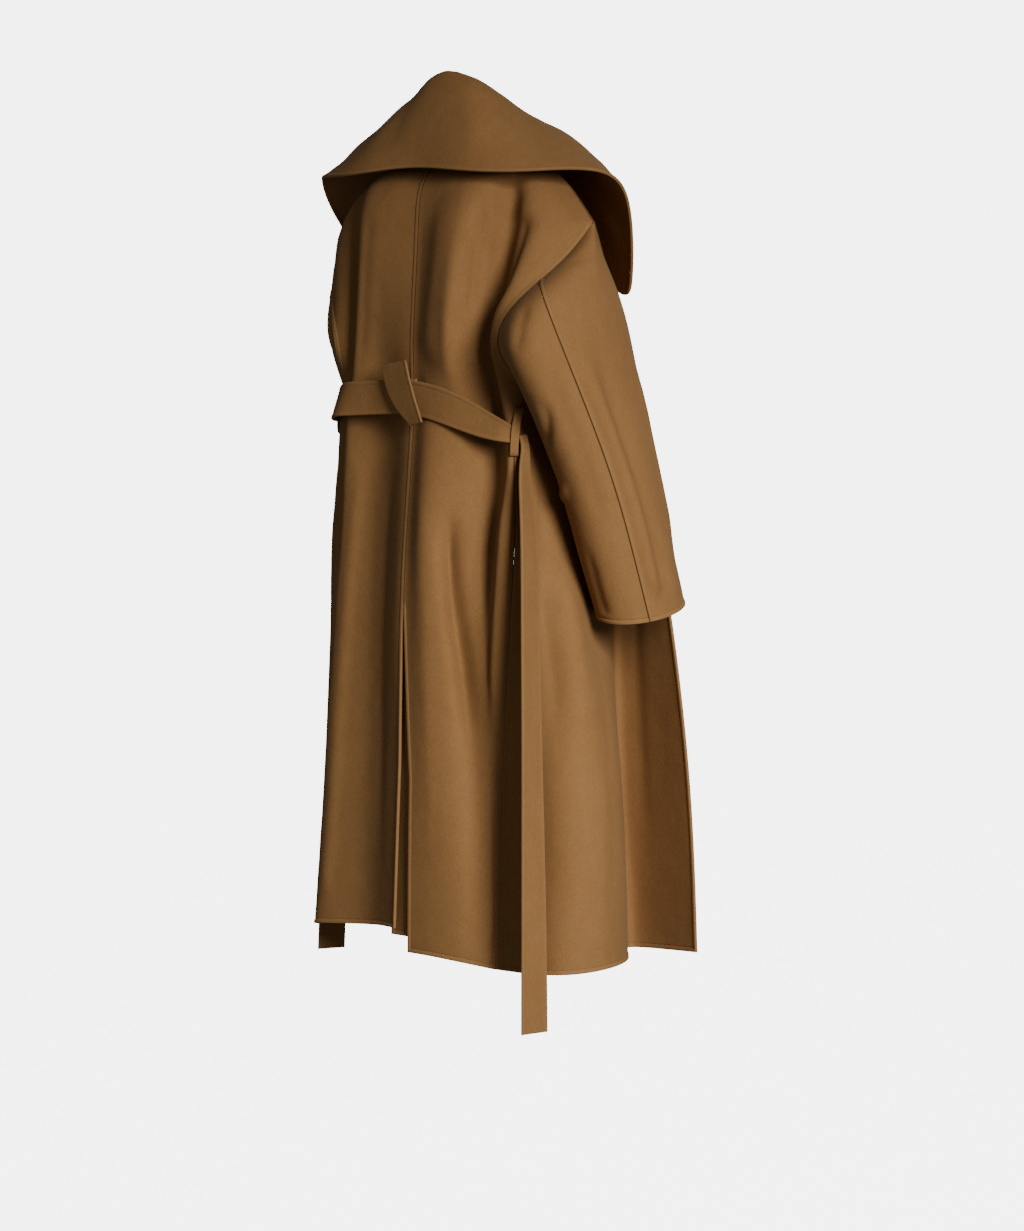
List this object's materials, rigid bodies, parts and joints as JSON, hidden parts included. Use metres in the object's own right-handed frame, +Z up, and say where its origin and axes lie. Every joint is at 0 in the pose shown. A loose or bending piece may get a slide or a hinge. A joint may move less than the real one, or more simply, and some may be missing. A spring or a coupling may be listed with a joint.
{
  "type": "wrap coat",
  "caption": "Long camel wool wrap coat as worn, with a wide shawl collar, dropped full sleeves, back vent and a self belt wrapped flat at the back.",
  "frame": {"origin": "base of the neck, in the middle of the neckline, where the coat rests on its wearer's shoulders", "axes": "+Z up, -Y the way the wearer faces, +X to the wearer's left"},
  "size_m": [0.6847, 0.5558, 1.47],
  "materials": {
    "camel_coating": "brushed double-faced wool, matt",
    "camel_belt": "the same wool, turned in and pressed"
  },
  "bodies": {
    "root": {"back_left": "camel_coating", "back_right": "camel_coating", "vent_underlap": "camel_coating", "front_left": "camel_coating", "front_right": "camel_coating", "sleeve_top_right": "camel_coating", "sleeve_under_right": "camel_coating", "sleeve_top_left": "camel_coating", "sleeve_under_left": "camel_coating", "collar": "camel_coating", "belt_left_run": "camel_belt", "belt_knot": "camel_belt", "belt_right_run": "camel_belt", "belt_tail_right": "camel_belt", "belt_tail_left": "camel_belt", "belt_loop_right": "camel_belt", "belt_loop_left": "camel_belt"}
  },
  "joints": []
}
